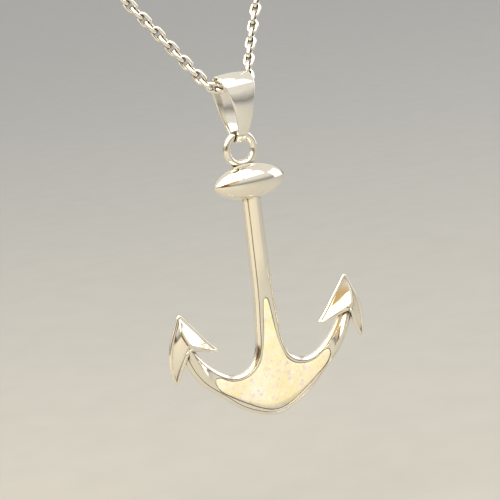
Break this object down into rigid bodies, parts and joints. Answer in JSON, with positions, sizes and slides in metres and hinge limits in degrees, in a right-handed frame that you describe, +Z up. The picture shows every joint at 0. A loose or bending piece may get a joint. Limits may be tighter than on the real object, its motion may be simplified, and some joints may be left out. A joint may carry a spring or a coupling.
{
  "type": "anchor pendant necklace on a cable chain",
  "caption": "Polished anchor pendant with a pale opal inlay in its crown and three-cornered flukes, hung by a folded tapered bail on a fine cable chain.",
  "frame": {"origin": "middle of the clasp at the nape of the neck, on its neck side", "axes": "+Z up, +Y backwards out of the nape, +X to the wearer's left; the anchor hangs in front and faces -Y"},
  "size_m": [0.1164, 0.1331, 0.1362],
  "materials": {
    "anchor_silver": "cast sterling silver, highly polished",
    "inlay_opal": "white opal, ground flat and polished",
    "bail_silver": "folded silver sheet, polished",
    "chain_silver": "silver wire links, polished",
    "clasp_silver": "silver, polished"
  },
  "bodies": {
    "necklace": {"chain": "chain_silver", "clasp": "clasp_silver", "left_end_ring": "clasp_silver", "right_end_ring": "clasp_silver"},
    "bail": {"bail": "bail_silver"},
    "anchor": {"anchor": "anchor_silver", "inlay": "inlay_opal"}
  },
  "joints": [
    {"name": "bail_swing", "type": "hinge", "parent": "necklace", "child": "bail", "pos_m": [0, -0.1278, -0.1006], "axis": [1, 0, 0], "range_deg": [-80, 80]},
    {"name": "anchor_swing", "type": "hinge", "parent": "bail", "child": "anchor", "pos_m": [0, -0.1278, -0.10687], "axis": [0, 1, 0], "range_deg": [-75, 75]}
  ]
}
